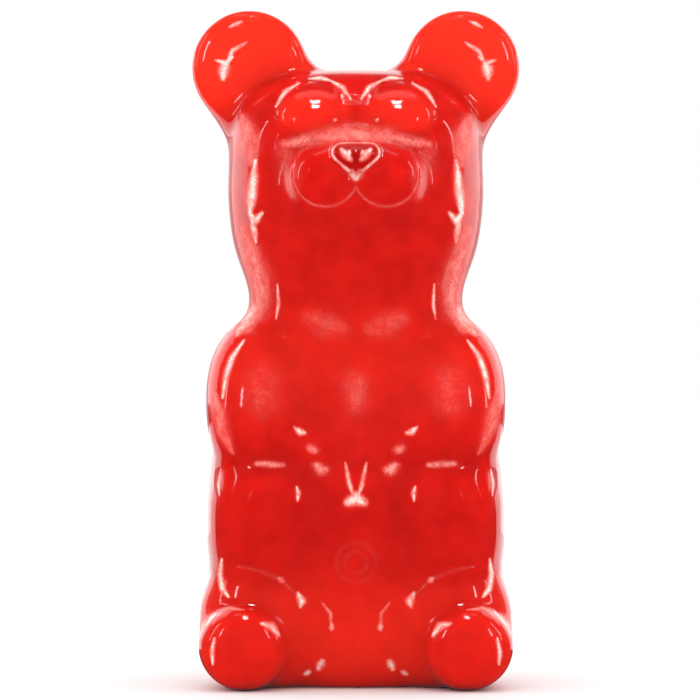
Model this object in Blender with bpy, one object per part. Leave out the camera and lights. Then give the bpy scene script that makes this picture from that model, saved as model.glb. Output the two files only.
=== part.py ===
"""A giant gummy bear: one solid of cast gelatine that stands on its feet and seat.

The form is a set of rounded lumps that run into one another, as in a soft mould: a trunk, a head with
round ears, a face, folded arms, thighs and feet. Each lump is laid down as a stretched sphere, the spheres
are made one skin, and the skin is settled onto the blended form. Nose, mouth and navel are sunk or raised
in it. Sizes are in millimetres. +Z is up, the bear faces -Y, and the origin is under the middle of its box.
"""

from dataclasses import dataclass

import bmesh
import bpy
import numpy as np
from mathutils import Euler, Matrix

MM = 0.001

# Driving dimensions.
EAR_AT = (37.0, 3.0, 214.6)
EAR_RADIUS = 20.0
EAR_THICKNESS = 19.0
HEAD_HALF_WIDTH = 44.3
HEAD_HALF_DEPTH = 40.0
NECK_HALF_WIDTH = 36.3
TRUNK_HALF_WIDTH = 50.4
BODY_HALF_DEPTH = 37.0
FOOT_AT = (38.2, -19.0, 14.8)
EYE_AT = (14.4, -23.2, 196.6)
EYE_TILT = -43.0
CHEEK_AT = (10.3, -34.5, 174.5)
MOUTH_HEIGHT = 176.0
MOUTH_RADIUS = 11.3
MOUTH_DEPTH = 0.4
MOUTH_HALF_WIDTH = 0.7
NOSE_TOP = 185.9
NOSE_TIP = 176.0
NOSE_HALF_WIDTH = 7.4
NOSE_RISE = 1.2
NOSE_JUT = 2.6
NAVEL_HEIGHT = 44.2
NAVEL_RADII = (6.65, 3.85)
NAVEL_DEPTH = 0.3
NAVEL_HALF_WIDTH = 0.9

# How the skin is made.
SKIN_STEP = 2.2
BASE_ROUNDING = 1.5
SETTLE_ROUNDS = 8
LONGEST_MOVE = 1.5
SLOPE_STEP = 0.02
NEAR_SKIN = 10.0
FAR = 1000.0
SIDES = (1, -1)
FACE_BOX = ((0.0, 28.0), (-60.0, -18.0), (160.0, 212.0))
MARKS_BOX = ((0.0, 23.5), (-60.0, -25.0), (163.5, 191.0))
NAVEL_BOX = ((0.0, 9.5), (-60.0, -20.0), (35.0, 54.0))
TRIANGLES = 9400


@dataclass(frozen=True)
class Lump:
    """A stretched and turned sphere, and how widely it runs into what is already there.

    A power over 2 squares it off, round its plan with plan_power and up its height with power.
    """

    at: tuple
    radii: tuple
    blend: float
    power: float = 2.4
    plan_power: float = 2.2
    turn: tuple = (0.0, 0.0, 0.0)
    paired: bool = False


LUMPS = {
    "seat": Lump((0, 9, 40), (TRUNK_HALF_WIDTH - 0.6, BODY_HALF_DEPTH + 2.3, 44), blend=10, power=3.0),
    "trunk": Lump((0, 7, 85), (TRUNK_HALF_WIDTH, BODY_HALF_DEPTH, 53), blend=14, power=2.8),
    "neck": Lump((0, 4, 142), (NECK_HALF_WIDTH, BODY_HALF_DEPTH - 3, 52), blend=11, power=2.5),
    "belly": Lump((0, -3, 60), (18.0, 31.5, 46.0), blend=7, power=2.4),
    "jowls": Lump((0, 6, 166.5), (HEAD_HALF_WIDTH - 0.5, HEAD_HALF_DEPTH - 1, 38.5), blend=14, power=2.3),
    "head": Lump((0, 7, 180), (HEAD_HALF_WIDTH, HEAD_HALF_DEPTH - 1.8, 33.7), 4, 3.1, 2.6),
    "face": Lump((0, -8, 178), (38.5, 25.6, 26.0), blend=8, power=3.0, plan_power=3.2),
    "ear_root": Lump((34, 6, 201), (13.8, 9.5, 14.0), blend=9, power=2.0, paired=True),
    "ear": Lump(EAR_AT, (EAR_RADIUS, EAR_RADIUS, EAR_THICKNESS / 2), 9, 3.8, 2.0, (90, 0, 2), True),
    "ear_fillet": Lump((21, 4, 207.5), (9.0, 9.0, 9.5), blend=8, power=2.0, paired=True),
    "eye": Lump(EYE_AT, (13.5, 13.2, 8.8), 1.0, 2.3, 2.0, (90 + EYE_TILT, 0, 0), True),
    "chin": Lump((0, -18, 162), (27.0, 17.0, 24.0), blend=14, power=2.2),
    "snout": Lump((0, -26, 172.5), (25.2, 20.0, 17.0), 8, 2.2, 2.3, (-8, 0, 0)),
    "cheek": Lump(CHEEK_AT, (12.3, 12.0, 10.8), blend=4, paired=True),
    "nose": Lump((0, -33, 180), (12.5, 12.5, 11.0), blend=5, power=2.0),
    "arm": Lump((31, -7, 98.6), (20.8, 23.5, 28.6), blend=7, turn=(-22, 0, 0), paired=True),
    "forearm": Lump((18, -16, 86), (17.0, 13.5, 11.0), blend=9, turn=(0, -20, 14), paired=True),
    "thigh": Lump((31.5, -3, 56), (19.6, 30.0, 28.0), blend=9, power=2.5, plan_power=2.4, paired=True),
    "knee": Lump((27, -18, 61), (12.5, 16.0, 17.0), blend=8, power=2.2, paired=True),
    "shin": Lump((32, -6, 22), (22.0, 25.0, 23.0), blend=8, power=2.4, plan_power=2.5, paired=True),
    "foot": Lump(FOOT_AT, (15.7, 15.1, 20.0), 4, 3.2, 2.0, (90, 0, 0), True),
}


def clear_scene():
    for thing in list(bpy.data.objects):
        bpy.data.objects.remove(thing, do_unlink=True)


def turn_matrix(lump):
    return Euler([np.radians(angle) for angle in lump.turn]).to_matrix()


def lump_distance(points, lump):
    """About how far each point lies outside the lump, in millimetres, negative inside."""
    local = (points - np.array(lump.at)) @ np.array(turn_matrix(lump))
    radii = np.array(lump.radii)
    ratio = np.maximum(np.abs(local / radii), 1e-6)
    plan = (ratio[:, :2] ** lump.plan_power).sum(axis=1)
    share = lump.power / lump.plan_power
    reach = (plan**share + ratio[:, 2] ** lump.power) ** (1 / lump.power)
    rise = np.empty_like(ratio)
    rise[:, :2] = plan[:, None] ** (share - 1) * ratio[:, :2] ** (lump.plan_power - 1)
    rise[:, 2] = ratio[:, 2] ** (lump.power - 1)
    slope = np.linalg.norm(rise / radii, axis=1) * reach ** (1 - lump.power)
    return (reach - 1) / np.maximum(slope, 1e-6)


def blended(first, second, width):
    """The nearer of two distances, run smoothly into each other over the width."""
    share = np.maximum(width - np.abs(first - second), 0) / width
    return np.minimum(first, second) - share**3 * width / 6


def ridge(offset, half_width):
    return np.exp(-((offset / half_width) ** 2))


def step_below(value, limit, softness):
    return 1 / (1 + np.exp((value - limit) / softness))


def nose_distance(x, z):
    """Distance from the outline of the nose, a triangle with round corners, negative inside it."""
    corner = 1.9
    top, tip = NOSE_TOP - corner, NOSE_TIP + corner
    half = NOSE_HALF_WIDTH - corner
    x = np.abs(x)
    side = np.clip(((x - half) * -half + (z - top) * (tip - top)) / (half**2 + (tip - top) ** 2), 0, 1)
    to_side = np.hypot(x - half * (1 - side), z - top - side * (tip - top))
    to_top = np.hypot(x - np.minimum(x, half), z - top)
    inside = (z < top) & ((x - half) * (tip - top) + (z - top) * half > 0)
    return np.where(inside, -1, 1) * np.minimum(to_side, to_top) - corner


def marks(points):
    """How far the mouth, nose and navel sink into the skin at each point, negative where they stand out."""
    x, y, z = np.abs(points[:, 0]), points[:, 1], points[:, 2]
    lip = np.hypot(x - CHEEK_AT[0], z - MOUTH_HEIGHT) - MOUTH_RADIUS
    mouth = MOUTH_DEPTH * ridge(lip, MOUTH_HALF_WIDTH) * step_below(z, MOUTH_HEIGHT + 1.4, 1.0)
    edge = nose_distance(x, z)
    inward = np.clip(-edge / (0.4 * NOSE_HALF_WIDTH), 0, 1)
    down = np.clip((NOSE_TOP - z) / (NOSE_TOP - NOSE_TIP), 0, 1)
    nose = -(NOSE_RISE + NOSE_JUT * down) * inward * (2 - inward) * (1 - 0.3 * ridge(x, 1.5))
    rim = 0.6 * ridge(edge - 0.6, 0.5)
    from_navel = np.hypot(x, z - NAVEL_HEIGHT)
    rings = NAVEL_DEPTH * sum(ridge(from_navel - radius, NAVEL_HALF_WIDTH) for radius in NAVEL_RADII)
    return (mouth + nose + rim) * step_below(y, -23.0, 2.0) + rings * step_below(y, -13.0, 2.0)


def form_distance(points):
    """How far each point lies outside the bear, with its lumps blended, its marks cut and its base flat."""
    distance = np.full(len(points), FAR)
    for lump in LUMPS.values():
        for side in SIDES if lump.paired else SIDES[:1]:
            local = points * np.array([side, 1, 1])
            reach = max(lump.radii) + lump.blend + NEAR_SKIN
            near = np.linalg.norm(local - np.array(lump.at), axis=1) < reach
            distance[near] = blended(distance[near], lump_distance(local[near], lump), lump.blend)
    distance = distance + marks(points)
    return -blended(-distance, points[:, 2], BASE_ROUNDING)


def settle(points, rounds):
    """The points moved onto the surface of the form along its slope."""
    for _ in range(rounds):
        distance = form_distance(points)
        ahead = [form_distance(points + offset) for offset in np.eye(3) * SLOPE_STEP]
        slope = np.stack(ahead, axis=1) - distance[:, None]
        length = np.maximum(np.linalg.norm(slope, axis=1, keepdims=True), 1e-9)
        move = np.clip(distance, -LONGEST_MOVE, LONGEST_MOVE)
        points = points - move[:, None] * slope / length
    return points


def lump_skin():
    """One closed skin of even squares round all the lumps."""
    shape = bmesh.new()
    for lump in LUMPS.values():
        stretch = Matrix.Diagonal((*lump.radii, 1.0))
        place = Matrix.Translation(lump.at) @ turn_matrix(lump).to_4x4() @ stretch
        for side in SIDES if lump.paired else SIDES[:1]:
            mirror = Matrix.Diagonal((side, 1, 1, 1))
            ball = bmesh.ops.create_icosphere(shape, subdivisions=4, radius=1.0)["verts"]
            bmesh.ops.transform(shape, verts=ball, matrix=mirror @ place)
            if side < 0:
                faces = {face for vert in ball for face in vert.link_faces}
                bmesh.ops.reverse_faces(shape, faces=list(faces))
    mesh = bpy.data.meshes.new("lumps")
    shape.to_mesh(mesh)
    shape.free()
    guide = bpy.data.objects.new("lumps", mesh)
    bpy.context.scene.collection.objects.link(guide)
    remesh = guide.modifiers.new("one_skin", "REMESH")
    remesh.mode = "VOXEL"
    remesh.voxel_size = SKIN_STEP
    skin = bmesh.new()
    skin.from_object(guide, bpy.context.evaluated_depsgraph_get())
    bpy.data.objects.remove(guide)
    bpy.data.meshes.remove(mesh)
    return skin


def move_to_form(skin, rounds):
    points = settle(np.array([vert.co for vert in skin.verts], dtype=float), rounds)
    points[np.abs(points[:, 2]) < 0.02, 2] = 0.0
    for vert, point in zip(skin.verts, points):
        vert.co = point


def refine(skin, box):
    """Halves the squares inside a box that is given for both sides of the bear at once."""
    def within(vert):
        place = (abs(vert.co.x), vert.co.y, vert.co.z)
        return all(low <= value <= high for value, (low, high) in zip(place, box))

    chosen = [edge for edge in skin.edges if all(within(vert) for vert in edge.verts)]
    bmesh.ops.subdivide_edges(skin, edges=chosen, cuts=1, use_grid_fill=True)


def gelatine():
    material = bpy.data.materials.new("red_gelatine")
    material.use_nodes = True
    shader = material.node_tree.nodes["Principled BSDF"]
    shader.inputs["Base Color"].default_value = (0.72, 0.02, 0.014, 1.0)
    shader.inputs["Roughness"].default_value = 0.12
    shader.inputs["Metallic"].default_value = 0.0
    shader.inputs["IOR"].default_value = 1.44
    shader.inputs["Subsurface Weight"].default_value = 0.6
    return material


def gummy_bear():
    skin = lump_skin()
    move_to_form(skin, SETTLE_ROUNDS)
    for box in (FACE_BOX, MARKS_BOX, NAVEL_BOX):
        refine(skin, box)
        move_to_form(skin, SETTLE_ROUNDS // 2)
    bmesh.ops.triangulate(skin, faces=skin.faces)
    bmesh.ops.scale(skin, vec=(MM, MM, MM), verts=skin.verts)
    mesh = bpy.data.meshes.new("gummy_bear")
    skin.to_mesh(mesh)
    fine = len(skin.faces)
    skin.free()
    mesh.shade_smooth()
    mesh.materials.append(gelatine())
    bear = bpy.data.objects.new("gummy_bear", mesh)
    bpy.context.scene.collection.objects.link(bear)
    thin = bear.modifiers.new("fewer_faces", "DECIMATE")
    thin.ratio = TRIANGLES / fine
    thin.use_collapse_triangulate = True
    return bear


clear_scene()
gummy_bear()
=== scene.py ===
"""Looks of a giant gummy bear: one casting of clear red gelatine in a bright, soft studio.

The bear is shaped as it is moulded. Rounded lumps for the trunk, head, ears, face, arms and legs run into one
another, and the face and navel are pressed into them. The form is worked out in millimetres, with +Z up and
the bear facing -Y, and is then fitted to the solid in the frame.
"""

import logging
from abc import ABC, abstractmethod
from dataclasses import dataclass
from enum import Enum
from math import cos, pi, radians, sin, tan

import bmesh
import bpy
import numpy as np
from mathutils import Euler, Matrix, Vector


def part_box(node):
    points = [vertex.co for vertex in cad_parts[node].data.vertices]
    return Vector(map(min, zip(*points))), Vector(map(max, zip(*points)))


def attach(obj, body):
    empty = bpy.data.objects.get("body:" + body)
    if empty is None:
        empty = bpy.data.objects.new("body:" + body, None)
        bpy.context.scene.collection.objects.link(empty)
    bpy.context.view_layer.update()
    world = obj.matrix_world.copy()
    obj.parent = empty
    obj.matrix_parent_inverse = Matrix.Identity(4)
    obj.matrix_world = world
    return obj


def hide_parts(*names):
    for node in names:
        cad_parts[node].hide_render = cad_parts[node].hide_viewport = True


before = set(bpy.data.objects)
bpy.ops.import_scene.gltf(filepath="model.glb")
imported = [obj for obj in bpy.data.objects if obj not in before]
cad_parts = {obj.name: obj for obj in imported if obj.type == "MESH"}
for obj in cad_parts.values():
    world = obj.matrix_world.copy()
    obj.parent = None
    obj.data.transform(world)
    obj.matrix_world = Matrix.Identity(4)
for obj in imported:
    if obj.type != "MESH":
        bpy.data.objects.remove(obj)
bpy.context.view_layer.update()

log = logging.getLogger("gummy_bear")

Triple = tuple[float, float, float]
Span = tuple[float, float]

MM = 0.001
NODE = "gummy_bear"
BODY = "root"

# Millimetres: the height of the form as it is worked out here, a depth in front of the whole bear, and a
# distance beyond any in it.
DESIGN_HEIGHT = 234.6
PAST_FRONT = -60.0
FAR = 1000.0

# A line on the skin: how many half-widths beside its middle it still counts, how far back it reaches unless
# it says otherwise, and over how many millimetres it ends there.
LINE_REACH = 2.5
LINE_BACK = -8.0
BACK_SOFTNESS = 1.5

# The least value that something is divided by, and how finely a ball of the rough skin is divided.
TINY = 1e-6
BALL_CUTS = 4


def add_node(
    tree: bpy.types.NodeTree,
    kind: str,
    settings: dict[str, object] | None = None,
    inputs: dict[str | int, object] | None = None,
) -> bpy.types.Node:
    """Adds a shader node, sets it up and wires it.

    Args:
        tree: The node tree that gets the node.
        kind: The node's type name, without the leading "ShaderNode".
        settings: Properties of the node itself.
        inputs: For each input socket, the output socket to link to it or the value to set on it.

    Returns:
        The new node.
    """
    node = tree.nodes.new("ShaderNode" + kind)
    for name, value in (settings or {}).items():
        setattr(node, name, value)
    for name, value in (inputs or {}).items():
        if isinstance(value, bpy.types.NodeSocket):
            tree.links.new(value, node.inputs[name])
        else:
            node.inputs[name].default_value = value
    return node


@dataclass(frozen=True)
class Ramp:
    """A change from a first to a last value while something measured goes from a start to an end."""

    start: float
    end: float
    first: float
    last: float

    def over(self, measured: bpy.types.NodeSocket) -> dict[str, object]:
        """Gives the inputs with which a Map Range node makes the change."""
        ends = {"From Min": self.start, "From Max": self.end, "To Min": self.first, "To Max": self.last}
        return {"Value": measured, **ends}


def linear(hex_colour: str) -> tuple[float, float, float, float]:
    """Turns an sRGB colour into the linear one that shaders work in.

    Args:
        hex_colour: The colour as six hexadecimal digits.

    Returns:
        Red, green, blue and an alpha of one.
    """
    parts = [int(hex_colour[i : i + 2], 16) / 255 for i in (0, 2, 4)]
    flat = [part / 12.92 if part <= 0.04045 else ((part + 0.055) / 1.055) ** 2.4 for part in parts]
    return (*flat, 1.0)


def bare_tree(owner: bpy.types.Material | bpy.types.World) -> bpy.types.NodeTree:
    """Turns on the nodes of a material or a world, and clears them.

    Args:
        owner: The material or the world.

    Returns:
        Its node tree.
    """
    owner.use_nodes = True
    owner.node_tree.nodes.clear()
    return owner.node_tree


def finished_mesh(name: str, shape: bmesh.types.BMesh) -> bpy.types.Mesh:
    """Turns a shape into a mesh and frees the shape.

    Args:
        name: The mesh's name.
        shape: The shape, which can't be used afterwards.

    Returns:
        The mesh.
    """
    mesh = bpy.data.meshes.new(name)
    shape.to_mesh(mesh)
    shape.free()
    return mesh


def new_object(name: str, data: bpy.types.ID) -> bpy.types.Object:
    """Makes an object and puts it in the scene.

    Args:
        name: The object's name.
        data: Its mesh, lamp or camera.

    Returns:
        The object.
    """
    made = bpy.data.objects.new(name, data)
    bpy.context.scene.collection.objects.link(made)
    return made


def ridge(offset: np.ndarray, half_width: float) -> np.ndarray:
    """Gives a smooth bump of height one over a line that lies where the offset is zero."""
    return np.exp(-((offset / half_width) ** 2))


def step_below(value: np.ndarray, limit: float, softness: float) -> np.ndarray:
    """Gives one where the value is under the limit and zero where it is over, with a soft step."""
    return 1 / (1 + np.exp((value - limit) / softness))


def blended(first: np.ndarray, second: np.ndarray, width: float) -> np.ndarray:
    """Takes the nearer of two distances, run smoothly into each other.

    Args:
        first: Distances to one form.
        second: Distances to another form.
        width: How near in distance the two must be to run into each other.

    Returns:
        Distances to the two forms together.
    """
    share = np.maximum(width - np.abs(first - second), 0) / width
    return np.minimum(first, second) - share**3 * width / 6


@dataclass(frozen=True)
class FineArea:
    """A box, given for both sides at once, in which the skin has smaller faces."""

    across: Span
    deep: Span
    high: Span

    def holds(self, points: np.ndarray) -> np.ndarray:
        """Says for each point whether it lies in the box.

        Args:
            points: Places in millimetres, one a row.

        Returns:
            A truth value for each point.
        """
        low, high = np.array([self.across, self.deep, self.high]).T
        places = points.copy()
        places[:, 0] = np.abs(places[:, 0])
        return ((places >= low) & (places <= high)).all(axis=1)


@dataclass(frozen=True)
class Crease:
    """A soft line, alike on both sides, that is pressed in, made pale as starch and as a painted highlight,
    or worn matt.

    The path is a row of places as they are seen from the front, each a sideways place and a height. The line
    lies only on skin in front of its back, and narrows at its ends to a share, thin_end, of its width.
    """

    path: tuple[Span, ...]
    half_width: float
    starch_and_highlights: float = 0.0
    depth: float = 0.0
    back: float = LINE_BACK
    thin_end: float = 0.4
    matt: float = 0.0

    def share(self, points: np.ndarray) -> np.ndarray:
        """Gives how strongly each point lies in the line.

        Args:
            points: Places in millimetres, one a row.

        Returns:
            One along the middle of the line, falling to zero beside it.
        """
        seen = np.stack([np.abs(points[:, 0]), points[:, 2]], axis=1)
        path = np.array(self.path)
        reach = LINE_REACH * self.half_width
        near = ((seen > path.min(axis=0) - reach) & (seen < path.max(axis=0) + reach)).all(axis=1)
        share = np.zeros(len(points))
        for number, (start, end) in enumerate(zip(path[:-1], path[1:])):
            along = end - start
            offset = seen[near] - start
            place = np.clip(offset @ along / (along @ along), 0, 1)
            away = np.linalg.norm(offset - place[:, None] * along, axis=1)
            swell = np.sin(pi * (number + place) / (len(path) - 1))
            half_width = self.half_width * (self.thin_end + (1 - self.thin_end) * swell)
            share[near] = np.maximum(share[near], ridge(away, half_width))
        return share * step_below(points[:, 1], self.back, BACK_SOFTNESS)

    def fine_areas(self, margin: float) -> list[FineArea]:
        """Gives the areas along the line that need smaller faces.

        Args:
            margin: How far beside the line they reach.

        Returns:
            An area for each straight piece of the line.
        """
        areas = []
        for start, end in zip(self.path[:-1], self.path[1:]):
            across, high = ((min(pair) - margin, max(pair) + margin) for pair in zip(start, end))
            areas.append(FineArea(across, (PAST_FRONT, self.back), high))
        return areas


def worn_spot(*path: Span, half_width: float, back: float = LINE_BACK, matt: float = 1.0) -> Crease:
    """Gives a spot along a path where the skin is worn matt, so that no highlight shows."""
    return Crease(path, half_width, back=back, thin_end=1.0, matt=matt)


def arc(centre: Span, radius: float, start: float, end: float, steps: int = 10) -> tuple[Span, ...]:
    """Gives a row of places along an arc.

    Args:
        centre: The arc's centre.
        radius: Its radius.
        start: The angle at which it starts, in degrees from sideways, upwards.
        end: The angle at which it ends.
        steps: How many straight pieces it gets.

    Returns:
        The places, each a sideways place and a height.
    """
    angles = [radians(start + (end - start) * step / steps) for step in range(steps + 1)]
    return tuple((centre[0] + radius * cos(angle), centre[1] + radius * sin(angle)) for angle in angles)


class Sides(Enum):
    """Where a lump stands: once in the middle, or once on each side."""

    MIDDLE = (1,)
    BOTH = (1, -1)


@dataclass(frozen=True)
class Lump:
    """A stretched and turned sphere of gelatine, and how widely it runs into what it touches.

    A power over 2 squares it off, round its plan with plan_power and up its height with power.
    """

    at: Triple
    radii: Triple
    blend: float
    power: float = 2.4
    plan_power: float = 2.2
    turn: Triple = (0.0, 0.0, 0.0)
    sides: Sides = Sides.MIDDLE

    def turning(self) -> Matrix:
        """Gives the lump's turn as a matrix."""
        return Euler([radians(angle) for angle in self.turn]).to_matrix()

    def distance(self, points: np.ndarray) -> np.ndarray:
        """Measures about how far each point lies outside the lump.

        Args:
            points: Places in millimetres, one a row.

        Returns:
            Distances in millimetres, negative inside.
        """
        local = (points - np.array(self.at)) @ np.array(self.turning())
        radii = np.array(self.radii)
        ratio = np.maximum(np.abs(local / radii), TINY)
        plan = (ratio[:, :2] ** self.plan_power).sum(axis=1)
        share = self.power / self.plan_power
        reach = (plan**share + ratio[:, 2] ** self.power) ** (1 / self.power)
        rise = np.empty_like(ratio)
        rise[:, :2] = plan[:, None] ** (share - 1) * ratio[:, :2] ** (self.plan_power - 1)
        rise[:, 2] = ratio[:, 2] ** (self.power - 1)
        slope = np.linalg.norm(rise / radii, axis=1) * reach ** (1 - self.power)
        return (reach - 1) / np.maximum(slope, TINY)

    def join(self, distance: np.ndarray, points: np.ndarray, margin: float) -> None:
        """Runs the lump, on each of its sides, into what is already there.

        Args:
            distance: Distances to the form so far, which are brought up to date.
            points: The places that they belong to.
            margin: How far outside the lump it still counts.
        """
        reach = max(self.radii) + self.blend + margin
        for side in self.sides.value:
            local = points * np.array([side, 1, 1])
            near = np.linalg.norm(local - np.array(self.at), axis=1) < reach
            distance[near] = blended(distance[near], self.distance(local[near]), self.blend)

    def add_ball(self, shape: bmesh.types.BMesh) -> None:
        """Adds the lump, on each of its sides, to a mesh as a stretched ball.

        Args:
            shape: The mesh, in millimetres.
        """
        place = Matrix.Translation(self.at) @ self.turning().to_4x4() @ Matrix.Diagonal((*self.radii, 1.0))
        for side in self.sides.value:
            ball = bmesh.ops.create_icosphere(shape, subdivisions=BALL_CUTS, radius=1.0)["verts"]
            bmesh.ops.transform(shape, verts=ball, matrix=Matrix.Diagonal((side, 1, 1, 1)) @ place)
            if side < 0:
                faces = {face for vert in ball for face in vert.link_faces}
                bmesh.ops.reverse_faces(shape, faces=list(faces))


class BodyPart(ABC):
    """A part of the bear: the lumps that it adds, and the marks that are pressed into it."""

    @abstractmethod
    def lumps(self) -> list[Lump]:
        """Gives the part's lumps, in the order in which they run into the bear."""

    def creases(self) -> list[Crease]:
        """Gives the part's creases."""
        return []

    def marks(self, points: np.ndarray) -> np.ndarray:
        """Gives how far the skin sinks in at each point, creases apart, negative where it stands out."""
        return np.zeros(len(points))

    def dust_and_highlight(self, points: np.ndarray) -> np.ndarray:
        """Gives the pale starch and painted highlight at each point, creases apart."""
        return np.zeros(len(points))

    def shade(self, points: np.ndarray) -> np.ndarray:
        """Gives how much painted shade makes each point deeper red, folds apart."""
        return np.zeros(len(points))

    def painted_glow(self, points: np.ndarray) -> np.ndarray:
        """Gives how much painted glow of light each point gets, from none to one."""
        return np.zeros(len(points))

    def fine_areas(self) -> list[FineArea]:
        """Gives the areas, creases apart, whose detail needs smaller faces."""
        return []

    def finest_areas(self) -> list[FineArea]:
        """Gives the areas inside those whose faces are made smaller once more."""
        return []


@dataclass
class Trunk(BodyPart):
    """The seat, the trunk with its belly, and the broad neck."""

    half_width: float = 50.4
    half_depth: float = 37.0
    neck_half_width: float = 36.3
    chest_height: float = 114.0
    # Painted light on the front of the chest.
    chest_painted_light: float = 0.25
    chest_spread: float = 16.0
    side_softness: float = 4.0

    def lumps(self) -> list[Lump]:
        """Gives the trunk's lumps, from the seat upwards."""
        return [
            Lump((0, 9, 40), (self.half_width - 0.6, self.half_depth + 2.3, 44), blend=10, power=3.0),
            Lump((0, 7, 85), (self.half_width, self.half_depth, 53), blend=14, power=2.8),
            Lump((0, 4, 142), (self.neck_half_width, self.half_depth - 3, 52), blend=11, power=2.5),
            Lump((0, -3, 60), (18.0, 31.5, 46.0), blend=7, power=2.4),
        ]

    def creases(self) -> list[Crease]:
        """Gives painted sheen and highlights on neck and chest, worn spots, and the pit under the paws,
        painted white.
        """
        neck = ((38.5, 158.0), (35.6, 148.0), (33.2, 139.0), (33.4, 131.0), (37.0, 123.5))
        return [
            Crease(neck, 3.6, starch_and_highlights=0.16, back=0.0),
            Crease(((41.0, 122.0), (37.4, 126.5), (35.4, 131.0)), 2.0, starch_and_highlights=0.5, back=0.0),
            worn_spot((21.8, 121.6), (25.2, 120.4), half_width=2.0),
            worn_spot((28.6, 128.0), (31.4, 126.0), half_width=1.8),
            Crease(((26.9, 139.0), (26.6, 132.0), (27.4, 127.0)), 0.45, starch_and_highlights=0.6),
            Crease(((16.0, 127.5), (10.0, 125.0), (5.0, 123.8)), 3.6, starch_and_highlights=0.07, thin_end=0.6),
            Crease(((0.0, 105.0), (0.0, 99.0)), 4.0, starch_and_highlights=0.07, thin_end=1.0),
            Crease(((0.0, 66.0), (2.6, 64.6)), 1.2, starch_and_highlights=1.0, depth=1.0, thin_end=0.8),
            Crease(((0.8, 66.6), (2.2, 71.0), (3.6, 78.0)), 0.55, starch_and_highlights=0.6, depth=0.4),
            Crease(((0.0, 68.0), (0.0, 66.0)), 0.9, starch_and_highlights=0.5),
        ]

    def painted_glow(self, points: np.ndarray) -> np.ndarray:
        """Gives a faint painted glow of light across the front of the chest."""
        at_chest = ridge(points[:, 2] - self.chest_height, self.chest_spread)
        return self.chest_painted_light * at_chest * step_below(points[:, 1], 0.0, self.side_softness)


@dataclass
class Head(BodyPart):
    """The head and the pair of round ears."""

    half_width: float = 44.3
    half_depth: float = 40.0
    ear_at: Triple = (37.0, 3.0, 214.6)
    ear_radius: float = 20.0
    ear_thickness: float = 19.0
    ear_foot: float = 199.0
    ear_foot_softness: float = 3.0
    past_rim: float = 2.0
    rim_softness: float = 1.0
    past_plate: float = 1.5
    plate_softness: float = 0.6

    def lumps(self) -> list[Lump]:
        """Gives the lumps of the head, the ear roots, the ears and the fillets inside them."""
        ear = (self.ear_radius, self.ear_radius, self.ear_thickness / 2)
        skull = (self.half_width, self.half_depth - 1.8, 33.7)
        return [
            Lump((0, 6, 166.5), (self.half_width - 0.5, self.half_depth - 1, 38.5), blend=14, power=2.3),
            Lump((0, 7, 180), skull, blend=4, power=3.1, plan_power=2.6),
            Lump((0, -8, 178), (38.5, 25.6, 26.0), blend=8, power=3.0, plan_power=3.2),
            Lump((34, 6, 201), (13.8, 9.5, 14.0), blend=9, power=2.0, sides=Sides.BOTH),
            Lump(self.ear_at, ear, blend=9, power=3.8, plan_power=2.0, turn=(90, 0, 2), sides=Sides.BOTH),
            Lump((21, 4, 207.5), (9.0, 9.0, 9.5), blend=8, power=2.0, sides=Sides.BOTH),
        ]

    def creases(self) -> list[Crease]:
        """Gives painted highlights on each ear's fork and rim and the head side's hook, painted sheen, and
        worn spots.
        """
        x, y, z = self.ear_at
        ear_lines = (
            (((0.9, 8.4), (5.6, 5.6), (7.6, 1.6)), 0.55, 0.95),
            (((5.6, 3.4), (8.2, 1.2), (11.6, 2.3)), 0.6, 0.95),
            (((7.4, 1.8), (8.8, -0.8), (9.0, -4.2)), 1.3, 1.0),
            (((6.9, 13.7), (4.6, 15.0), (2.4, 15.8)), 0.5, 0.85),
        )
        creases = []
        for path, half_width, starch_and_highlights in ear_lines:
            on_ear = tuple((x + across, z + up) for across, up in path)
            creases.append(Crease(on_ear, half_width, starch_and_highlights=starch_and_highlights, back=y))
        return creases + [
            worn_spot((x - 5.6, z + 17.2), (x - 2.6, z + 16.6), half_width=2.0, back=0.0),
            worn_spot((18.0, 212.8), (21.5, 211.2), half_width=2.2, back=0.0),
            Crease(((34.4, 181.0), (35.6, 170.0), (36.4, 163.0)), 1.2, starch_and_highlights=0.95),
            Crease(((36.8, 163.6), (34.6, 160.6), (32.0, 163.2)), 0.9, starch_and_highlights=0.95),
            Crease(((35.8, 162.0), (35.0, 157.0), (34.4, 153.4)), 0.8, starch_and_highlights=0.8),
            Crease(((39.6, 197.0), (36.8, 189.0), (36.0, 180.0)), 2.8, starch_and_highlights=0.16, back=0.0),
        ]

    def painted_glow(self, points: np.ndarray) -> np.ndarray:
        """Gives the painted glow of light through the thin ears, which fades towards the head.

        Args:
            points: Places in millimetres, one a row.

        Returns:
            One in the ears, falling to zero at their feet.
        """
        x, y, z = np.abs(points[:, 0]), points[:, 1], points[:, 2]
        from_middle = np.hypot(x - self.ear_at[0], z - self.ear_at[2])
        in_disc = step_below(from_middle, self.ear_radius + self.past_rim, self.rim_softness)
        half_plate = self.ear_thickness / 2 + self.past_plate
        in_plate = step_below(np.abs(y - self.ear_at[1]), half_plate, self.plate_softness)
        return in_disc * in_plate * step_below(self.ear_foot - z, 0.0, self.ear_foot_softness)


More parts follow.
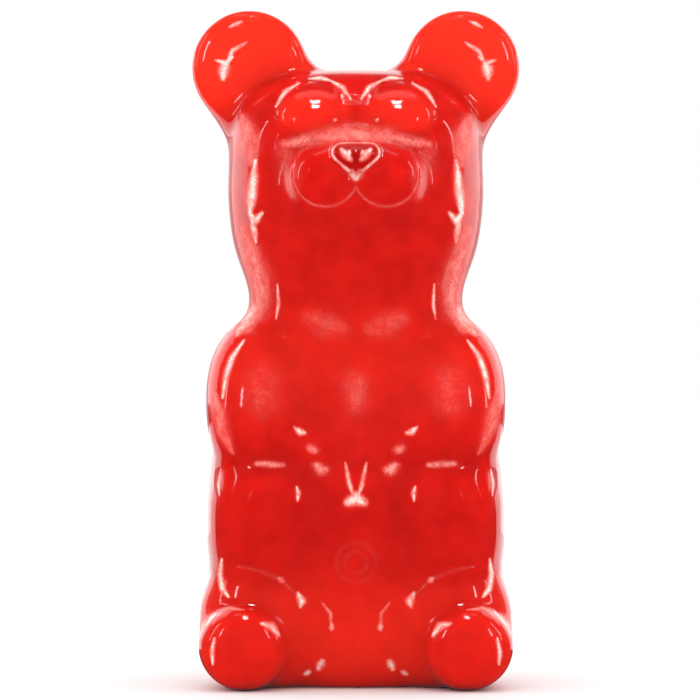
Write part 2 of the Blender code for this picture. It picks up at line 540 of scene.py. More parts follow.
@dataclass
class Face(BodyPart):
    """The eyes, the broad muzzle with its two cheeks, the nose and the mouth."""

    eye_at: Triple = (14.4, -23.2, 196.6)
    eye_tilt: float = -43.0
    cheek_at: Triple = (10.3, -34.5, 174.5)
    mouth_height: float = 176.0
    mouth_radius: float = 11.3
    nose_top: float = 185.9
    nose_tip: float = 176.0
    nose_half_width: float = 7.5
    nose_corner: float = 2.8
    nose_rise: float = 1.2
    nose_jut: float = 2.6
    nose_shoulder: float = 3.0
    groove_share: float = 0.3
    groove_half_width: float = 1.5
    front: float = -23.0
    front_softness: float = 2.0
    pit_depth: float = 1.9
    pit_half_width: float = 2.1
    rim_depth: float = 0.6
    rim_offset: float = 0.6
    rim_half_width: float = 0.5
    # The pale line round the nose: partly starch in its rim, partly a painted highlight.
    rim_paleness: float = 0.9
    rim_line_offset: float = 0.5
    rim_line_half_width: float = 0.34
    bare_top: float = 1.5
    bare_share: float = 0.6
    bare_softness: float = 0.6
    nose_softness: float = 0.3
    # Painted light on the eyes.
    eye_painted_light: float = 0.5
    eye_spread: Span = (14.0, 9.0)
    eye_reach: float = 0.9
    eye_softness: float = 0.08
    mouth_depth: float = 0.3

    def lumps(self) -> list[Lump]:
        """Gives the lumps of the eyes, the chin, the snout, the cheeks and the nose."""
        eye, eye_turn = (13.5, 13.2, 8.8), (90 + self.eye_tilt, 0, 0)
        return [
            Lump(self.eye_at, eye, blend=1, power=2.3, plan_power=2.0, turn=eye_turn, sides=Sides.BOTH),
            Lump((0, -18, 162), (27.0, 17.0, 24.0), blend=14, power=2.2),
            Lump((0, -26, 172.5), (25.2, 20.0, 17.0), blend=8, power=2.2, plan_power=2.3, turn=(-8, 0, 0)),
            Lump(self.cheek_at, (12.3, 12.0, 10.8), blend=4, sides=Sides.BOTH),
            Lump((0, -33, 180), (12.5, 12.5, 11.0), blend=5, power=2.0),
        ]

    def nose_outline(self, across: np.ndarray, height: np.ndarray) -> np.ndarray:
        """Measures how far places lie from the outline of the nose, a triangle with round corners.

        Args:
            across: Sideways places.
            height: Heights.

        Returns:
            Distances, negative inside the outline.
        """
        corner = self.nose_corner
        top, tip = self.nose_top - corner, self.nose_tip + corner
        half = self.nose_half_width - corner
        across = np.abs(across)
        fall = tip - top
        side = np.clip(((across - half) * -half + (height - top) * fall) / (half**2 + fall**2), 0, 1)
        to_side = np.hypot(across - half * (1 - side), height - top - side * fall)
        to_top = np.hypot(across - np.minimum(across, half), height - top)
        inside = (height < top) & ((across - half) * fall + (height - top) * half > 0)
        return np.where(inside, -1, 1) * np.minimum(to_side, to_top) - corner

    def marks(self, points: np.ndarray) -> np.ndarray:
        """Presses in the rim of the nose and the pit under it, and lifts the nose with its groove.

        Args:
            points: Places in millimetres, one a row.

        Returns:
            How far the skin sinks in at each point, negative where it stands out.
        """
        x, z = np.abs(points[:, 0]), points[:, 2]
        edge = self.nose_outline(x, z)
        inward = np.clip(-edge / self.nose_shoulder, 0, 1)
        down = np.clip((self.nose_top - z) / (self.nose_top - self.nose_tip), 0, 1)
        rise = self.nose_rise + self.nose_jut * down
        groove = 1 - self.groove_share * ridge(x, self.groove_half_width)
        nose = -rise * inward * (2 - inward) * groove
        rim = self.rim_depth * ridge(edge - self.rim_offset, self.rim_half_width)
        under_tip = np.hypot(x, z - self.nose_tip + self.rim_offset)
        pit = self.pit_depth * ridge(under_tip, self.pit_half_width)
        pit = pit * step_below(z, self.nose_tip, self.rim_half_width)
        return (nose + rim + pit) * self.in_front(points)

    def in_front(self, points: np.ndarray) -> np.ndarray:
        """Gives one on the front of the face and zero behind it."""
        return step_below(points[:, 1], self.front, self.front_softness)

    def shade(self, points: np.ndarray) -> np.ndarray:
        """Paints shade on the nose, making it deeper red."""
        edge = self.nose_outline(points[:, 0], points[:, 2])
        return step_below(edge, 0.0, self.nose_softness) * self.in_front(points)

    def dust_and_highlight(self, points: np.ndarray) -> np.ndarray:
        """Gives the pale line round the nose, part starch in its rim and part painted highlight, less at its
        top.

        Args:
            points: Places in millimetres, one a row.

        Returns:
            How pale the line is at each point.
        """
        edge = self.nose_outline(points[:, 0], points[:, 2])
        bare = self.bare_share * step_below(self.nose_top - points[:, 2], self.bare_top, self.bare_softness)
        in_rim = ridge(edge - self.rim_line_offset, self.rim_line_half_width)
        return self.rim_paleness * (1 - bare) * in_rim * self.in_front(points)

    def painted_glow(self, points: np.ndarray) -> np.ndarray:
        """Gives the painted glow of light on the eyes.

        Args:
            points: Places in millimetres, one a row.

        Returns:
            How much painted glow each point gets.
        """
        across, up = np.abs(points[:, 0]) - self.eye_at[0], points[:, 2] - self.eye_at[2]
        from_middle = np.hypot(across / self.eye_spread[0], up / self.eye_spread[1])
        in_eye = step_below(from_middle, self.eye_reach, self.eye_softness)
        return self.eye_painted_light * in_eye * self.in_front(points)

    def creases(self) -> list[Crease]:
        """Gives the mouth, the muzzle's painted sheen, worn spots, and painted highlights on the nose and the
        eyes' rims.
        """
        centre = (self.cheek_at[0], self.mouth_height)
        mouth = arc(centre, self.mouth_radius, -188, 8, steps=14)
        over_muzzle = ((-24.5, 186.4), (-10.0, 189.0), (0.0, 189.4), (10.0, 189.0), (24.5, 186.4))
        beside_muzzle = ((23.6, 187.0), (24.2, 182.0), (22.4, 175.0), (21.0, 168.0))
        front = self.front
        return [
            Crease(mouth, 0.45, starch_and_highlights=0.09, depth=self.mouth_depth, back=front, thin_end=0.3),
            Crease(over_muzzle, 3.0, starch_and_highlights=0.19, back=front),
            Crease(beside_muzzle, 3.2, starch_and_highlights=0.05, back=front),
            worn_spot((6.0, 192.3), (9.0, 192.3), half_width=1.9, back=front),
            worn_spot((19.4, 192.3), (22.0, 192.3), half_width=1.9, back=front),
            worn_spot((14.2, 176.6), (14.2, 173.4), half_width=2.6, back=front, matt=0.9),
            worn_spot((25.8, 192.4), (25.6, 187.6), (24.6, 182.6), half_width=2.2, back=-14.0),
            worn_spot((0.0, 205.0), (0.0, 196.0), half_width=4.4, back=-14.0),
            Crease(((1.4, 175.9), (0.0, 174.4)), 0.8, starch_and_highlights=1.0, back=front, thin_end=1.0),
            Crease(((5.0, 184.0), (3.4, 182.0), (1.6, 180.4)), 0.9, starch_and_highlights=0.9, back=front),
            Crease(((2.2, 183.4), (2.6, 181.6)), 0.6, starch_and_highlights=0.9, back=front),
            Crease(((27.4, 199.6), (24.2, 204.9), (19.4, 208.0)), 0.65, starch_and_highlights=0.85),
            Crease(((16.0, 209.7), (12.0, 209.9), (8.6, 208.7)), 0.6, starch_and_highlights=0.9),
            Crease(((8.6, 208.7), (4.6, 206.2), (1.8, 202.0)), 0.6, starch_and_highlights=0.85),
        ]

    def fine_areas(self) -> list[FineArea]:
        """Gives the whole face."""
        return [FineArea((0.0, 28.0), (PAST_FRONT, -18.0), (162.0, 211.0))]

    def finest_areas(self) -> list[FineArea]:
        """Gives the nose."""
        return [FineArea((0.0, 9.0), (PAST_FRONT, -25.0), (172.0, 188.0))]


@dataclass
class Arms(BodyPart):
    """The pair of arms, folded on the chest."""

    def lumps(self) -> list[Lump]:
        """Gives the upper arms and the forearms that point inwards and up."""
        return [
            Lump((31, -7, 98.6), (20.8, 23.5, 28.6), blend=7, turn=(-22, 0, 0), sides=Sides.BOTH),
            Lump((18, -16, 86), (17.0, 13.5, 11.0), blend=9, turn=(0, -20, 14), sides=Sides.BOTH),
        ]

    def creases(self) -> list[Crease]:
        """Gives the painted highlights and sheen on each upper arm and its edge, and the paws' small folds
        and glints.
        """
        edge = ((48.8, 103.0), (47.6, 96.0), (46.0, 89.0), (42.2, 81.0))
        return [
            Crease(((32.0, 106.0), (32.0, 99.0)), 5.0, starch_and_highlights=0.05, thin_end=1.0),
            Crease(((38.4, 119.6), (42.6, 113.6), (44.6, 107.0), (45.6, 100.0)), 0.75, starch_and_highlights=0.85),
            Crease(edge, 2.2, starch_and_highlights=0.16, back=0.0, thin_end=0.2),
            Crease(((20.8, 90.0), (19.0, 88.4), (17.2, 88.2)), 0.75, starch_and_highlights=0.85, depth=0.4),
            Crease(((15.6, 83.0), (14.2, 82.2)), 1.2, starch_and_highlights=0.2, depth=0.2, thin_end=0.9),
            Crease(((13.4, 77.0), (12.0, 75.6), (10.6, 75.6)), 1.4, starch_and_highlights=0.35, depth=0.2, thin_end=0.7),
        ]


@dataclass
class Legs(BodyPart):
    """The pair of bent legs, with their knees forward and their feet flat."""

    foot_at: Triple = (38.2, -19.0, 14.8)
    # Painted glow of light through the base.
    base_painted_light: float = 0.45
    base_height: float = 34.0
    base_softness: float = 5.0
    foot_shade: float = 0.6
    foot_radius: float = 15.0
    foot_softness: float = 1.5
    lap_height: float = 56.0
    # Painted shade across the thick lap.
    lap_shade: float = 0.22
    lap_spread: float = 18.0

    def lumps(self) -> list[Lump]:
        """Gives the thighs, knees, shins and feet."""
        foot = (15.7, 15.1, 20.0)
        return [
            Lump((31.5, -3, 56), (19.6, 30.0, 28.0), blend=9, power=2.5, plan_power=2.4, sides=Sides.BOTH),
            Lump((27, -18, 61), (12.5, 16.0, 17.0), blend=8, power=2.2, sides=Sides.BOTH),
            Lump((32, -6, 22), (22.0, 25.0, 23.0), blend=8, power=2.4, plan_power=2.5, sides=Sides.BOTH),
            Lump(self.foot_at, foot, blend=4, power=3.2, plan_power=2.0, turn=(90, 0, 0), sides=Sides.BOTH),
        ]

    def creases(self) -> list[Crease]:
        """Gives the folds, painted glints and highlights, and worn spots of the knees, shins and feet."""
        return [
            Crease(((33.8, 77.6), (24.8, 77.2)), 0.8, starch_and_highlights=0.3, depth=0.3, thin_end=0.8),
            Crease(((46.4, 75.4), (47.2, 70.5), (46.8, 66.5)), 0.4, starch_and_highlights=0.8, back=0.0),
            Crease(((20.2, 69.8), (19.6, 67.6), (19.8, 65.0)), 0.5, starch_and_highlights=0.85),
            worn_spot((19.8, 69.4), (19.6, 65.6), half_width=2.0),
            Crease(((40.6, 42.6), (33.4, 41.4), (24.4, 37.6), (18.4, 30.8)), 0.8, starch_and_highlights=0.03, depth=0.3),
            Crease(((26.4, 38.6), (24.6, 37.2)), 0.8, starch_and_highlights=0.35),
            worn_spot((36.0, 71.0), (36.0, 63.0), half_width=2.8),
            worn_spot((43.8, 77.0), (43.0, 60.0), half_width=1.8, back=0.0),
            Crease(((19.8, 33.4), (18.4, 30.6), (18.8, 29.0)), 0.9, starch_and_highlights=0.9, depth=0.4),
            Crease(((45.9, 44.7), (46.6, 39.6), (45.6, 34.5), (43.5, 32.1)), 0.75, starch_and_highlights=0.95),
            Crease(((11.8, 30.6), (8.6, 26.4), (8.4, 20.6)), 0.45, starch_and_highlights=0.25, depth=0.3),
            Crease(((8.3, 23.0), (8.4, 20.6)), 0.6, starch_and_highlights=0.5),
            Crease(((51.7, 21.8), (49.6, 24.8), (47.3, 27.0)), 0.6, starch_and_highlights=0.95),
            Crease(((47.3, 27.0), (43.0, 28.4), (38.0, 28.0)), 0.4, starch_and_highlights=0.3),
            Crease(((32.0, 23.6), (28.6, 22.6), (26.2, 19.6)), 0.8, starch_and_highlights=0.8),
            Crease(((48.0, 18.6), (48.8, 14.0), (48.6, 9.6)), 0.55, starch_and_highlights=0.9),
            Crease(((11.6, 9.8), (12.6, 7.2)), 0.9, starch_and_highlights=0.95, depth=0.2, thin_end=0.7),
            Crease(((17.3, 5.2), (16.0, 6.0)), 0.7, starch_and_highlights=0.8, thin_end=0.7),
        ]

    def shade(self, points: np.ndarray) -> np.ndarray:
        """Gives painted shade, deeper red, across the thick lap."""
        return self.lap_shade * ridge(points[:, 2] - self.lap_height, self.lap_spread)

    def painted_glow(self, points: np.ndarray) -> np.ndarray:
        """Gives the painted glow of light that comes through the base, weaker in the thick feet.

        Args:
            points: Places in millimetres, one a row.

        Returns:
            How much painted glow each point gets.
        """
        across, up = np.abs(points[:, 0]) - self.foot_at[0], points[:, 2] - self.foot_at[2]
        in_foot = step_below(np.hypot(across, up), self.foot_radius, self.foot_softness)
        low = step_below(points[:, 2], self.base_height, self.base_softness)
        return self.base_painted_light * low * (1 - self.foot_shade * in_foot)


@dataclass
class Navel(BodyPart):
    """The rings of the navel, low on the belly."""

    height: float = 44.2
    radii: tuple[float, ...] = (6.65, 3.85)

    def lumps(self) -> list[Lump]:
        """Gives no lumps, because the navel is only pressed in."""
        return []

    def creases(self) -> list[Crease]:
        """Gives the rings."""
        paths = [arc((0.0, self.height), radius, -90, 90) for radius in self.radii]
        return [Crease(path, half_width=0.9, starch_and_highlights=0.015, depth=0.3, thin_end=1.0) for path in paths]


@dataclass
class Mould:
    """The mould: it knows the whole form and casts one closed skin on it.

    Sizes are in millimetres. The skin_step is the size of the skin's plain faces, and the margin is how far
    outside a lump it still counts.
    """

    parts: list[BodyPart]
    skin_step: float = 1.5
    base_rounding: float = 1.5
    longest_move: float = 1.5
    slope_step: float = 0.02
    flat_within: float = 0.02
    fine_margins: Span = (2.4, 0.9)
    margin: float = 10.0

    def creases(self) -> list[Crease]:
        """Gives the creases of all the parts."""
        return [crease for part in self.parts for crease in part.creases()]

    def distance(self, points: np.ndarray) -> np.ndarray:
        """Measures how far each point lies outside the bear.

        Args:
            points: Places in millimetres, one a row.

        Returns:
            Distances in millimetres, negative inside.
        """
        distance = np.full(len(points), FAR)
        for part in self.parts:
            for lump in part.lumps():
                lump.join(distance, points, self.margin)
        for part in self.parts:
            distance = distance + part.marks(points)
            for crease in part.creases():
                if crease.depth:
                    distance = distance + crease.depth * crease.share(points)
        return -blended(-distance, points[:, 2], self.base_rounding)

    def starch_and_highlights(self, points: np.ndarray) -> np.ndarray:
        """Gives the pale starch and painted highlights on the skin.

        Args:
            points: Places in millimetres, one a row.

        Returns:
            Their share at each point, from none to one.
        """
        starch_and_highlights = sum(part.dust_and_highlight(points) for part in self.parts)
        for crease in self.creases():
            starch_and_highlights = np.maximum(starch_and_highlights, crease.starch_and_highlights * crease.share(points))
        return np.clip(starch_and_highlights, 0, 1)

    def matt(self, points: np.ndarray) -> np.ndarray:
        """Gives how matt the skin is worn.

        Args:
            points: Places in millimetres, one a row.

        Returns:
            The wear at each point, from none to one.
        """
        matt = np.zeros(len(points))
        for crease in self.creases():
            if crease.matt:
                matt = np.maximum(matt, crease.matt * crease.share(points))
        return matt

    def slope(self, points: np.ndarray, distance: np.ndarray) -> np.ndarray:
        """Gives the direction in which the distance grows fastest.

        Args:
            points: Places in millimetres, one a row.
            distance: The distance at each of them.

        Returns:
            A unit vector for each point.
        """
        ahead = [self.distance(points + offset) for offset in np.eye(3) * self.slope_step]
        slope = np.stack(ahead, axis=1) - distance[:, None]
        return slope / np.maximum(np.linalg.norm(slope, axis=1, keepdims=True), TINY)

    def settle(self, points: np.ndarray, rounds: int) -> np.ndarray:
        """Moves points onto the surface of the form.

        Args:
            points: Places in millimetres, one a row.
            rounds: How many moves each point makes.

        Returns:
            The places after the moves.
        """
        for _ in range(rounds):
            distance = self.distance(points)
            move = np.clip(distance, -self.longest_move, self.longest_move)
            points = points - move[:, None] * self.slope(points, distance)
        return points

    def rough_skin(self) -> bmesh.types.BMesh:
        """Wraps the lumps, as balls, in one closed skin.

        Returns:
            A mesh of even squares in millimetres.
        """
        shape = bmesh.new()
        for part in self.parts:
            for lump in part.lumps():
                lump.add_ball(shape)
        mesh = finished_mesh("lumps", shape)
        guide = new_object("lumps", mesh)
        remesh = guide.modifiers.new("one_skin", "REMESH")
        remesh.mode = "VOXEL"
        remesh.voxel_size = self.skin_step
        skin = bmesh.new()
        skin.from_object(guide, bpy.context.evaluated_depsgraph_get())
        bpy.data.objects.remove(guide)
        bpy.data.meshes.remove(mesh)
        return skin

    def press(self, skin: bmesh.types.BMesh, rounds: int, relaxing: int = 1) -> None:
        """Evens out a skin's faces and presses it onto the form.

        Args:
            skin: The skin, whose points move.
            rounds: How many moves each point makes towards the form.
            relaxing: How many times the faces are evened out first.
        """
        for _ in range(relaxing):
            bmesh.ops.smooth_vert(
                skin, verts=skin.verts, factor=0.5, use_axis_x=True, use_axis_y=True, use_axis_z=True
            )
        points = self.settle(np.array([vert.co for vert in skin.verts], dtype=float), rounds)
        points[np.abs(points[:, 2]) < self.flat_within, 2] = 0.0
        for vert, point in zip(skin.verts, points):
            vert.co = point

    def refine(self, skin: bmesh.types.BMesh, areas: list[FineArea]) -> None:
        """Halves the edges of a skin's faces inside some areas.

        Args:
            skin: The skin, whose faces are divided.
            areas: The areas.
        """
        points = np.array([vert.co for vert in skin.verts])
        inside = np.zeros(len(points), dtype=bool)
        for area in areas:
            inside |= area.holds(points)
        skin.verts.index_update()
        chosen = [edge for edge in skin.edges if all(inside[vert.index] for vert in edge.verts)]
        bmesh.ops.subdivide_edges(skin, edges=chosen, cuts=1, use_grid_fill=True)

    def cast(self) -> bmesh.types.BMesh:
        """Makes the whole skin.

        Returns:
            A closed mesh in millimetres that lies on the form.
        """
        skin = self.rough_skin()
        self.press(skin, rounds=6, relaxing=2)
        self.press(skin, rounds=2, relaxing=3)
        thin = [crease for crease in self.creases() if crease.half_width < self.skin_step]
        areas = [area for part in self.parts for area in part.fine_areas()]
        for margin in self.fine_margins:
            self.refine(skin, areas + [area for crease in thin for area in crease.fine_areas(margin)])
            areas = [area for part in self.parts for area in part.finest_areas()]
        self.press(skin, rounds=3, relaxing=1)
        bmesh.ops.triangulate(skin, faces=skin.faces)
        return skin


@dataclass(frozen=True)
class CastGelatine:
    """Red gelatine sweet, poured warm into a smooth mould.

    It sets clear and wet-looking: light goes deep into it and comes back red, and the skin is as glossy as
    glass but not quite even, so that highlights wander a little. Light and shade are also painted into its
    colour: an orange glow where light would shine through the thin ears, and on the eyes, the chest and the
    base; painted shade in folds and on the lap and nose; and a painted sheen under pale, dull lines and
    patches in folds and on worn spots, which stand partly for starch from the mould and partly for painted
    highlights and glints.
    Sizes are in millimetres. The pits are drawn coarser than the real ones, of about a third of a millimetre,
    so that they show.
    """

    body: str = "D91D17"
    # The orange of the painted glow of light, and of the painted sheen under the pale lines.
    thin: str = "FF3A26"
    # The deeper red of random clouds and of painted shade.
    deep: str = "AE100E"
    # The pale colour of starch and of painted highlights and glints.
    starch_and_highlights: str = "FFE6DC"
    roughness: float = 0.07
    dull_roughness: float = 0.5
    dull_from: float = 0.12
    wet_gloss: float = 0.5
    worn_gloss: float = 0.02
    worn_from: float = 0.5
    back_from: float = 10.0
    back_to: float = 26.0
    back_roughness: float = 0.26
    ior: float = 1.48
    depth: float = 9.0
    depth_share: Triple = (1.0, 0.1, 0.06)
    wave_size: float = 11.0
    wave_height: float = 0.1
    pit_size: float = 1.3
    pit_height: float = 0.006
    cloud_size: float = 7.0
    cloud_share: float = 0.4
    # How strongly the painted sheen follows the pale lines.
    painted_sheen: float = 3.0
    speck_size: float = 0.9
    speck_share: float = 0.4
    smear_size: float = 3.5
    smear_share: float = 0.5
    noise_ends: Span = (0.35, 0.65)

    def noise(self, tree: bpy.types.NodeTree, size: float, low: float, high: float) -> bpy.types.NodeSocket:
        """Builds soft noise through the sweet.

        Args:
            tree: The material's node tree.
            size: How far apart its spots lie, in millimetres.
            low: What its dark spots come to.
            high: What its light spots come to.

        Returns:
            The socket with the noise.
        """
        place = add_node(tree, "TexCoord").outputs["Object"]
        pattern = {"Vector": place, "Scale": 1 / (size * MM), "Detail": 3.0}
        noise = add_node(tree, "TexNoise", None, pattern)
        spread = Ramp(*self.noise_ends, low, high)
        return add_node(tree, "MapRange", None, spread.over(noise.outputs["Fac"])).outputs[0]

    def starch_and_highlight_share(self, tree: bpy.types.NodeTree) -> bpy.types.NodeSocket:
        """Builds the share of pale starch and painted highlights, broken up into smears and specks.

        Args:
            tree: The material's node tree.

        Returns:
            The socket with the share.
        """
        product = {"operation": "MULTIPLY", "use_clamp": True}
        share = add_node(tree, "Attribute", {"attribute_name": "starch_and_highlights"}).outputs["Fac"]
        for size, uneven in ((self.smear_size, self.smear_share), (self.speck_size, self.speck_share)):
            pattern = self.noise(tree, size, 1 - uneven, 1 + uneven)
            share = add_node(tree, "Math", product, {0: share, 1: pattern}).outputs[0]
        return share

    def colour(self, tree: bpy.types.NodeTree) -> bpy.types.NodeSocket:
        """Builds the colour: deeper clouds, a painted orange glow, painted shade and sheen, and pale starch
        and highlights.

        Args:
            tree: The material's node tree.

        Returns:
            The socket with the colour.
        """
        painted_glow_total = add_node(tree, "Attribute", {"attribute_name": "painted_glow_total"}).outputs["Fac"]
        painted_shade = add_node(tree, "Attribute", {"attribute_name": "painted_shade"}).outputs["Fac"]
        cloud = self.noise(tree, self.cloud_size, 0.0, self.cloud_share)
        starch_and_highlights = self.starch_and_highlight_share(tree)
        product = {"operation": "MULTIPLY", "use_clamp": True}
        # Painted sheen: a brighter orange under the pale lines, as a highlight would give.
        painted_sheen = add_node(tree, "Math", product, {0: starch_and_highlights, 1: self.painted_sheen})
        colour = linear(self.body)
        # Over the body colour: random clouds, then painted glow, painted shade, painted sheen, and pale
        # starch and painted highlights.
        layers = (
            (cloud, linear(self.deep)),
            (painted_glow_total, linear(self.thin)),
            (painted_shade, linear(self.deep)),
            (painted_sheen.outputs[0], linear(self.thin)),
            (starch_and_highlights, linear(self.starch_and_highlights)),
        )
        for share, over in layers:
            mix = add_node(tree, "Mix", {"data_type": "RGBA"}, {"Factor": share, 6: colour, 7: over})
            colour = mix.outputs[2]
        return colour

    def dullness(self, tree: bpy.types.NodeTree) -> bpy.types.NodeSocket:
        """Builds the roughness: wet-looking, but dull under starch and painted highlights and on the mould's
        open back.

        Args:
            tree: The material's node tree.

        Returns:
            The socket with the roughness.
        """
        starch_and_highlights = add_node(tree, "Attribute", {"attribute_name": "starch_and_highlights"}).outputs["Fac"]
        spread = Ramp(0.0, self.dull_from, self.roughness, self.dull_roughness)
        dulled = add_node(tree, "MapRange", None, spread.over(starch_and_highlights)).outputs[0]
        place = add_node(tree, "TexCoord").outputs["Object"]
        deep = add_node(tree, "SeparateXYZ", None, {"Vector": place}).outputs["Y"]
        spread = Ramp(self.back_from * MM, self.back_to * MM, 0.0, self.back_roughness)
        back = add_node(tree, "MapRange", {"interpolation_type": "SMOOTHSTEP"}, spread.over(deep)).outputs[0]
        return add_node(tree, "Math", {"operation": "MAXIMUM"}, {0: dulled, 1: back}).outputs[0]

    def gloss(self, tree: bpy.types.NodeTree) -> bpy.types.NodeSocket:
        """Builds the strength of highlights, which are lost where the skin is worn matt.

        Args:
            tree: The material's node tree.

        Returns:
            The socket with the strength.
        """
        matt = add_node(tree, "Attribute", {"attribute_name": "matt"}).outputs["Fac"]
        spread = Ramp(0.0, self.worn_from, self.wet_gloss, self.worn_gloss)
        return add_node(tree, "MapRange", None, spread.over(matt)).outputs[0]

    def relief(self, tree: bpy.types.NodeTree) -> bpy.types.NodeSocket:
        """Builds the uneven gloss: slow waves from setting, and fine pits from the mould.

        Args:
            tree: The material's node tree.

        Returns:
            The socket with the normal.
        """
        place = add_node(tree, "TexCoord").outputs["Object"]
        below = {}
        for size, height in ((self.wave_size, self.wave_height), (self.pit_size, self.pit_height)):
            pattern = {"Vector": place, "Scale": 1 / (size * MM), "Detail": 2.0}
            noise = add_node(tree, "TexNoise", None, pattern)
            links = {"Height": noise.outputs["Fac"], "Distance": height * MM, "Strength": 1.0}
            below = {"Normal": add_node(tree, "Bump", None, links | below).outputs["Normal"]}
        return below["Normal"]

    def material(self) -> bpy.types.Material:
        """Builds the finished material.

        Returns:
            The material.
        """
        material = bpy.data.materials.new("cast_red_gelatine")
        tree = bare_tree(material)
        shader = add_node(
            tree,
            "BsdfPrincipled",
            {"subsurface_method": "RANDOM_WALK"},
            {
                "Base Color": self.colour(tree),
                "Roughness": self.dullness(tree),
                "IOR": self.ior,
                "Specular IOR Level": self.gloss(tree),
                "Subsurface Weight": 1.0,
                "Subsurface Radius": self.depth_share,
                "Subsurface Scale": self.depth * MM,
                "Normal": self.relief(tree),
            },
        )
        add_node(tree, "OutputMaterial", None, {"Surface": shader.outputs["BSDF"]})
        return material


@dataclass
class GummyBear:
    """The whole bear: one casting, dressed in its gelatine."""

    finish: CastGelatine = CastGelatine()
    # Heights outside the skin at which the form is looked for, to paint shade into folds.
    shade_probe_heights: Span = (4.0, 10.0)

    def parts(self) -> list[BodyPart]:
        """Gives the parts in the order in which they run into one another."""
        return [Trunk(), Head(), Face(), Arms(), Legs(), Navel()]

    def place(self) -> Matrix:
        """Works out where the bear stands.

        Returns:
            The matrix from design millimetres to the solid's place in the frame.
        """
        low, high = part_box(NODE)
        scale = (high.z - low.z) / DESIGN_HEIGHT
        return Matrix.Translation((0.0, 0.0, low.z)) @ Matrix.Diagonal((scale, scale, scale, 1.0))

    def build(self) -> bpy.types.Object:
        """Casts the bear.

        Returns:
            The bear's object, without its material.
        """
        mould = Mould(self.parts())
        skin = mould.cast()
        points = np.array([vert.co for vert in skin.verts], dtype=float)
        outward = mould.slope(points, mould.distance(points))
        bmesh.ops.transform(skin, verts=skin.verts, matrix=self.place())
        mesh = finished_mesh("gummy_bear_casting", skin)
        log.info("casting: %d faces", len(mesh.polygons))
        mesh.shade_smooth()
        mesh.normals_split_custom_set_from_vertices(outward)
        self.mark_skin(mesh, mould, points, outward)
        return new_object("gummy_bear_casting", mesh)

    def mark_skin(self, mesh: bpy.types.Mesh, mould: Mould, points: np.ndarray, outward: np.ndarray) -> None:
        """Writes the painted glow and shade, the starch and painted highlights, and the matt wear, as
        attributes.

        Args:
            mesh: The mesh that gets the attributes "painted_glow_total", "painted_shade",
                "starch_and_highlights" and "matt".
            mould: The mould, which knows the form.
            points: The mesh's points in millimetres.
            outward: The outward direction at each point.
        """
        # Painted glow of light, through the thin ears and on the eyes, the chest's front and the base.
        painted_glow_total = sum(part.painted_glow(points) for part in mould.parts)
        # Painted shade, deeper red, on the nose and the lap, and in folds, where the form lies within a few
        # millimetres outside the skin.
        painted_shade = np.max([part.shade(points) for part in mould.parts], axis=0)
        for height in self.shade_probe_heights:
            over = mould.distance(points + outward * height)
            painted_shade = np.maximum(painted_shade, np.clip(1 - over / height, 0, 1))
        dressing = {"painted_glow_total": painted_glow_total, "painted_shade": painted_shade, "starch_and_highlights": mould.starch_and_highlights(points), "matt": mould.matt(points)}
        for name, values in dressing.items():
            attribute = mesh.attributes.new(name, "FLOAT", "POINT")
            attribute.data.foreach_set("value", values.astype(np.float32))

    def dress(self, bear: bpy.types.Object) -> None:
        """Gives the bear its gelatine and ties it to the frame.

        Args:
            bear: The bear's object.
        """
        bear.data.materials.append(self.finish.material())
        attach(bear, BODY)
        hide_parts(NODE)


@dataclass(frozen=True)
class Lamp:
    """A rectangular lamp that faces the bear and shows only as a highlight. The room lights the gelatine.

    Its place and its size are angles in degrees as the bear sees them, and azimuth 0 is in front of the bear.
    Its distance and its level over the floor are in metres.
    """

    name: str
    azimuth: float
    elevation: float
    width: float
    height: float
    radiance: float
    distance: float = 1.2
    level: float = 0.1163

    def build(self) -> bpy.types.Object:
        """Hangs the lamp so that it faces the bear's axis at its level.

        Returns:
            The lamp's object.
        """
        around, up = radians(self.azimuth), radians(self.elevation)
        away = Vector((sin(around) * cos(up), -cos(around) * cos(up), sin(up)))
        light = bpy.data.lights.new(self.name, "AREA")
        light.shape = "RECTANGLE"
        light.size = 2 * self.distance * tan(radians(self.width / 2))
        light.size_y = 2 * self.distance * tan(radians(self.height / 2))
        light.energy = self.radiance * pi * light.size * light.size_y
        lamp = new_object(self.name, light)
        lamp.rotation_euler = away.to_track_quat("Z", "Y").to_euler()
        lamp.location = Vector((0.0, 0.0, self.level)) + away * self.distance
        lamp.visible_camera = False
        lamp.visible_diffuse = False
        lamp.visible_transmission = False
        return lamp


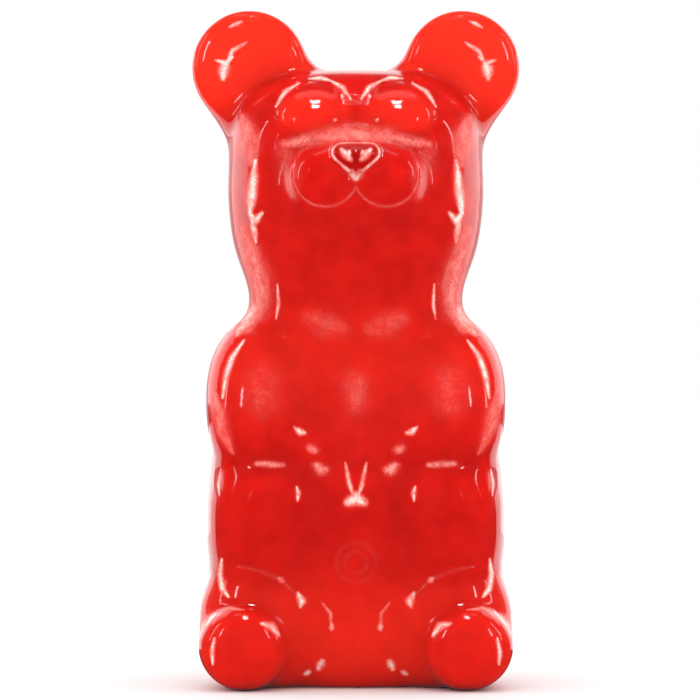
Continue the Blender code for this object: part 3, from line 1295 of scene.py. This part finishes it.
@dataclass
class Studio:
    """A bright studio: a white room, a pale floor, lamps for highlights and a level camera.

    Lengths are in metres. The ramps say how the room's light changes with a direction's height, or with how
    far it points behind the bear, where 1 is straight up or straight back.
    """

    eye_height: float = 0.1163
    eye_aside: float = -0.002
    eye_distance: float = 1.4
    middle_depth: float = 0.007
    field_width: float = 0.245
    nearest_seen: float = 0.05
    sensor: float = 36.0
    floor_half_width: float = 8.0
    paper: str = "F0F0F0"
    fill: Ramp = Ramp(-1.0, 1.0, 0.75, 1.45)
    shine_behind: Ramp = Ramp(0.45, 0.9, 0.05, 1.3)
    shine_above_horizon: Ramp = Ramp(-0.03, 0.35, 0.0, 1.0)
    shine_below_top: Ramp = Ramp(0.42, 0.65, 1.0, 0.1)
    least_shine: float = 0.05

    def lamps(self) -> list[Lamp]:
        """Lists the lamps.

        Returns:
            The lamps over the middle, and then those on each side from the front to the back.
        """
        found = [
            Lamp("window_upper_pane", 0, 80, 8, 6, radiance=30),
            Lamp("window_lower_pane", 2, 70.5, 8, 8, radiance=30),
            Lamp("overhead", 0, 95, 40, 14, radiance=0.8),
            Lamp("back_card", 180, 6, 62, 34, radiance=0.5, distance=0.45),
        ]
        for side, word in ((-1, "left"), (1, "right")):
            found += [
                Lamp("strip_" + word, side * 48, 22, 3, 16, radiance=18),
                Lamp("edge_strip_" + word, side * 88, 25, 3, 36, radiance=8),
                Lamp("side_card_" + word, side * 122, 0, 34, 48, radiance=1.4, distance=0.17, level=0.175),
                Lamp("low_card_" + word, side * 145, 0, 50, 28, radiance=1.0, distance=0.16, level=0.04),
            ]
        return found

    def camera(self) -> bpy.types.Object:
        """Sets up the camera, level with the middle of the bear.

        Returns:
            The camera's object.
        """
        camera = new_object("camera", bpy.data.cameras.new("camera"))
        camera.data.sensor_width = self.sensor
        camera.data.lens = self.sensor * self.eye_distance / self.field_width
        camera.data.clip_start = self.nearest_seen
        camera.location = (self.eye_aside, self.middle_depth - self.eye_distance, self.eye_height)
        camera.rotation_euler = (pi / 2, 0.0, 0.0)
        bpy.context.scene.camera = camera
        return camera

    def floor(self) -> bpy.types.Object:
        """Lays the floor, a wide sheet of matt white paper that shows no gloss.

        Returns:
            The floor's object.
        """
        shape = bmesh.new()
        bmesh.ops.create_grid(shape, x_segments=1, y_segments=1, size=self.floor_half_width)
        floor = new_object("floor", finished_mesh("floor", shape))
        material = bpy.data.materials.new("matt_white_paper")
        tree = bare_tree(material)
        shader = add_node(tree, "BsdfDiffuse", None, {"Color": linear(self.paper)})
        add_node(tree, "OutputMaterial", None, {"Surface": shader.outputs["BSDF"]})
        floor.data.materials.append(material)
        floor.visible_glossy = False
        return floor

    def world(self) -> bpy.types.World:
        """Lights the room: white to look at, soft from above on the gelatine, and dim in front in highlights.

        Returns:
            The world.
        """
        world = bpy.data.worlds.new("white_room")
        tree = bare_tree(world)
        direction = add_node(tree, "TexCoord").outputs["Generated"]
        axes = add_node(tree, "SeparateXYZ", None, {"Vector": direction}).outputs
        ramps = (
            (self.fill, "Z"),
            (self.shine_behind, "Y"),
            (self.shine_above_horizon, "Z"),
            (self.shine_below_top, "Z"),
        )
        smooth = {"interpolation_type": "SMOOTHSTEP"}
        fill, behind, above, below_top = (
            add_node(tree, "MapRange", smooth, ramp.over(axes[axis])).outputs[0] for ramp, axis in ramps
        )
        band = add_node(tree, "Math", {"operation": "MULTIPLY"}, {0: above, 1: below_top}).outputs[0]
        sum_up = {"operation": "MULTIPLY_ADD"}
        shine = add_node(tree, "Math", sum_up, {0: behind, 1: band, 2: self.least_shine}).outputs[0]
        white = {"Color": linear("FFFFFF")}
        lit, shiny, seen = (
            add_node(tree, "Background", None, white | {"Strength": strength}).outputs[0]
            for strength in (fill, shine, 1.0)
        )
        rays = add_node(tree, "LightPath").outputs
        inner = add_node(tree, "MixShader", None, {0: rays["Is Glossy Ray"], 1: lit, 2: shiny}).outputs[0]
        outer = add_node(tree, "MixShader", None, {0: rays["Is Camera Ray"], 1: inner, 2: seen}).outputs[0]
        add_node(tree, "OutputWorld", None, {"Surface": outer})
        world.cycles.sampling_method = "NONE"
        bpy.context.scene.world = world
        return world

    def build(self) -> None:
        """Sets up the whole studio."""
        bpy.context.scene.view_settings.view_transform = "Standard"
        self.camera()
        self.floor()
        self.world()
        for lamp in self.lamps():
            lamp.build()


def main() -> None:
    """Builds the studio and the bear."""
    logging.basicConfig(level=logging.INFO, format="%(name)s: %(message)s")
    Studio().build()
    log.info("studio is set up")
    bear = GummyBear()
    casting = bear.build()
    bear.dress(casting)
    log.info("%s is cast and dressed", casting.name)


if __name__ == "__main__":
    main()
